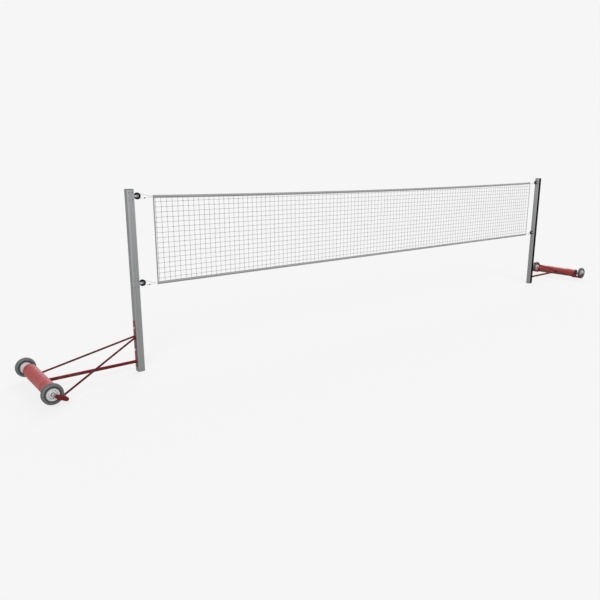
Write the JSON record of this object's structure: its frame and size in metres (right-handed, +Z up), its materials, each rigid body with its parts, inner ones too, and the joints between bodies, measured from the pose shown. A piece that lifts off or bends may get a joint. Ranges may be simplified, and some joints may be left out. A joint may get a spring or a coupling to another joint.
{
  "type": "portable sports net",
  "caption": "Portable court net hung on cords between two square posts, each bolted to a welded frame that ends in a ballasted drum between two wheels.",
  "frame": {"origin": "on the floor midway between the two posts", "axes": "+X along the net toward the right post, +Y away from the viewer, +Z up"},
  "size_m": [8.008, 0.8444, 1.55],
  "materials": {
    "post_grey": "satin extruded profile with fine lines along it",
    "cap_grey": "moulded plastic, matt",
    "strip_black": "matt black wear strip",
    "plate_red": "dark red paint, satin",
    "frame_red": "dark red paint, satin",
    "drum_red": "red paint, soft gloss",
    "core_iron": "raw casting",
    "tyre_rubber": "grey solid rubber, matt",
    "rim_white": "pale moulded nylon",
    "steel_plated": "zinc plated",
    "pin_dark": "blackened steel",
    "pulley_black": "black moulded nylon",
    "net_twine": "knotted grey twine",
    "tape_grey": "woven grey webbing, stitched",
    "cord_white": "braided white cord"
  },
  "bodies": {
    "posts_and_net": {"left_post": "post_grey", "left_post_cap": "cap_grey", "left_post_foot": "cap_grey", "left_side_strip": "strip_black", "left_back_plate": "plate_red", "left_main_tube": "frame_red", "left_strut_front": "frame_red", "left_strut_rear": "frame_red", "left_drum_shell": "drum_red", "left_ballast_core": "core_iron", "left_wheel_fork_front": "frame_red", "left_wheel_fork_rear": "frame_red", "left_axle_front": "steel_plated", "left_axle_rear": "steel_plated", "left_axle_nut_front": "pin_dark", "left_axle_nut_rear": "pin_dark", "left_pulley_bracket_top": "steel_plated", "left_pulley_bracket_low": "steel_plated", "left_pulley_pin_top": "pin_dark", "left_pulley_pin_low": "pin_dark", "right_post": "post_grey", "right_post_cap": "cap_grey", "right_post_foot": "cap_grey", "right_side_strip": "strip_black", "right_back_plate": "plate_red", "right_main_tube": "frame_red", "right_strut_front": "frame_red", "right_strut_rear": "frame_red", "right_drum_shell": "drum_red", "right_ballast_core": "core_iron", "right_wheel_fork_front": "frame_red", "right_wheel_fork_rear": "frame_red", "right_axle_front": "steel_plated", "right_axle_rear": "steel_plated", "right_axle_nut_front": "pin_dark", "right_axle_nut_rear": "pin_dark", "right_pulley_bracket_top": "steel_plated", "right_pulley_bracket_low": "steel_plated", "right_pulley_pin_top": "pin_dark", "right_pulley_pin_low": "pin_dark", "net_panel": "net_twine", "side_tape_left": "tape_grey", "side_tape_right": "tape_grey", "top_tape": "tape_grey", "low_tape": "tape_grey", "top_cord": "cord_white", "low_cord": "cord_white"},
    "left_front_wheel": {"left_tyre_front": "tyre_rubber", "left_rim_front": "rim_white"},
    "left_rear_wheel": {"left_tyre_rear": "tyre_rubber", "left_rim_rear": "rim_white"},
    "right_front_wheel": {"right_tyre_front": "tyre_rubber", "right_rim_front": "rim_white"},
    "right_rear_wheel": {"right_tyre_rear": "tyre_rubber", "right_rim_rear": "rim_white"},
    "left_top_sheave": {"left_pulley_top": "pulley_black"},
    "left_low_sheave": {"left_pulley_low": "pulley_black"},
    "right_top_sheave": {"right_pulley_top": "pulley_black"},
    "right_low_sheave": {"right_pulley_low": "pulley_black"}
  },
  "joints": [
    {"name": "left_front_wheel_spin", "type": "hinge", "parent": "posts_and_net", "child": "left_front_wheel", "pos_m": [-3.923, -0.3694, 0.1105], "axis": [0, 1, 0], "continuous": true},
    {"name": "left_rear_wheel_spin", "type": "hinge", "parent": "posts_and_net", "child": "left_rear_wheel", "pos_m": [-3.923, 0.3694, 0.1105], "axis": [0, 1, 0], "continuous": true},
    {"name": "right_front_wheel_spin", "type": "hinge", "parent": "posts_and_net", "child": "right_front_wheel", "pos_m": [3.923, -0.3694, 0.1105], "axis": [0, 1, 0], "continuous": true},
    {"name": "right_rear_wheel_spin", "type": "hinge", "parent": "posts_and_net", "child": "right_rear_wheel", "pos_m": [3.923, 0.3694, 0.1105], "axis": [0, 1, 0], "continuous": true},
    {"name": "left_top_sheave_spin", "type": "hinge", "parent": "posts_and_net", "child": "left_top_sheave", "pos_m": [-3.0235, 0, 1.4918], "axis": [0, 1, 0], "continuous": true},
    {"name": "left_low_sheave_spin", "type": "hinge", "parent": "posts_and_net", "child": "left_low_sheave", "pos_m": [-3.0235, 0, 0.7685], "axis": [0, 1, 0], "continuous": true},
    {"name": "right_top_sheave_spin", "type": "hinge", "parent": "posts_and_net", "child": "right_top_sheave", "pos_m": [3.0235, 0, 1.4918], "axis": [0, 1, 0], "continuous": true},
    {"name": "right_low_sheave_spin", "type": "hinge", "parent": "posts_and_net", "child": "right_low_sheave", "pos_m": [3.0235, 0, 0.7685], "axis": [0, 1, 0], "continuous": true}
  ]
}
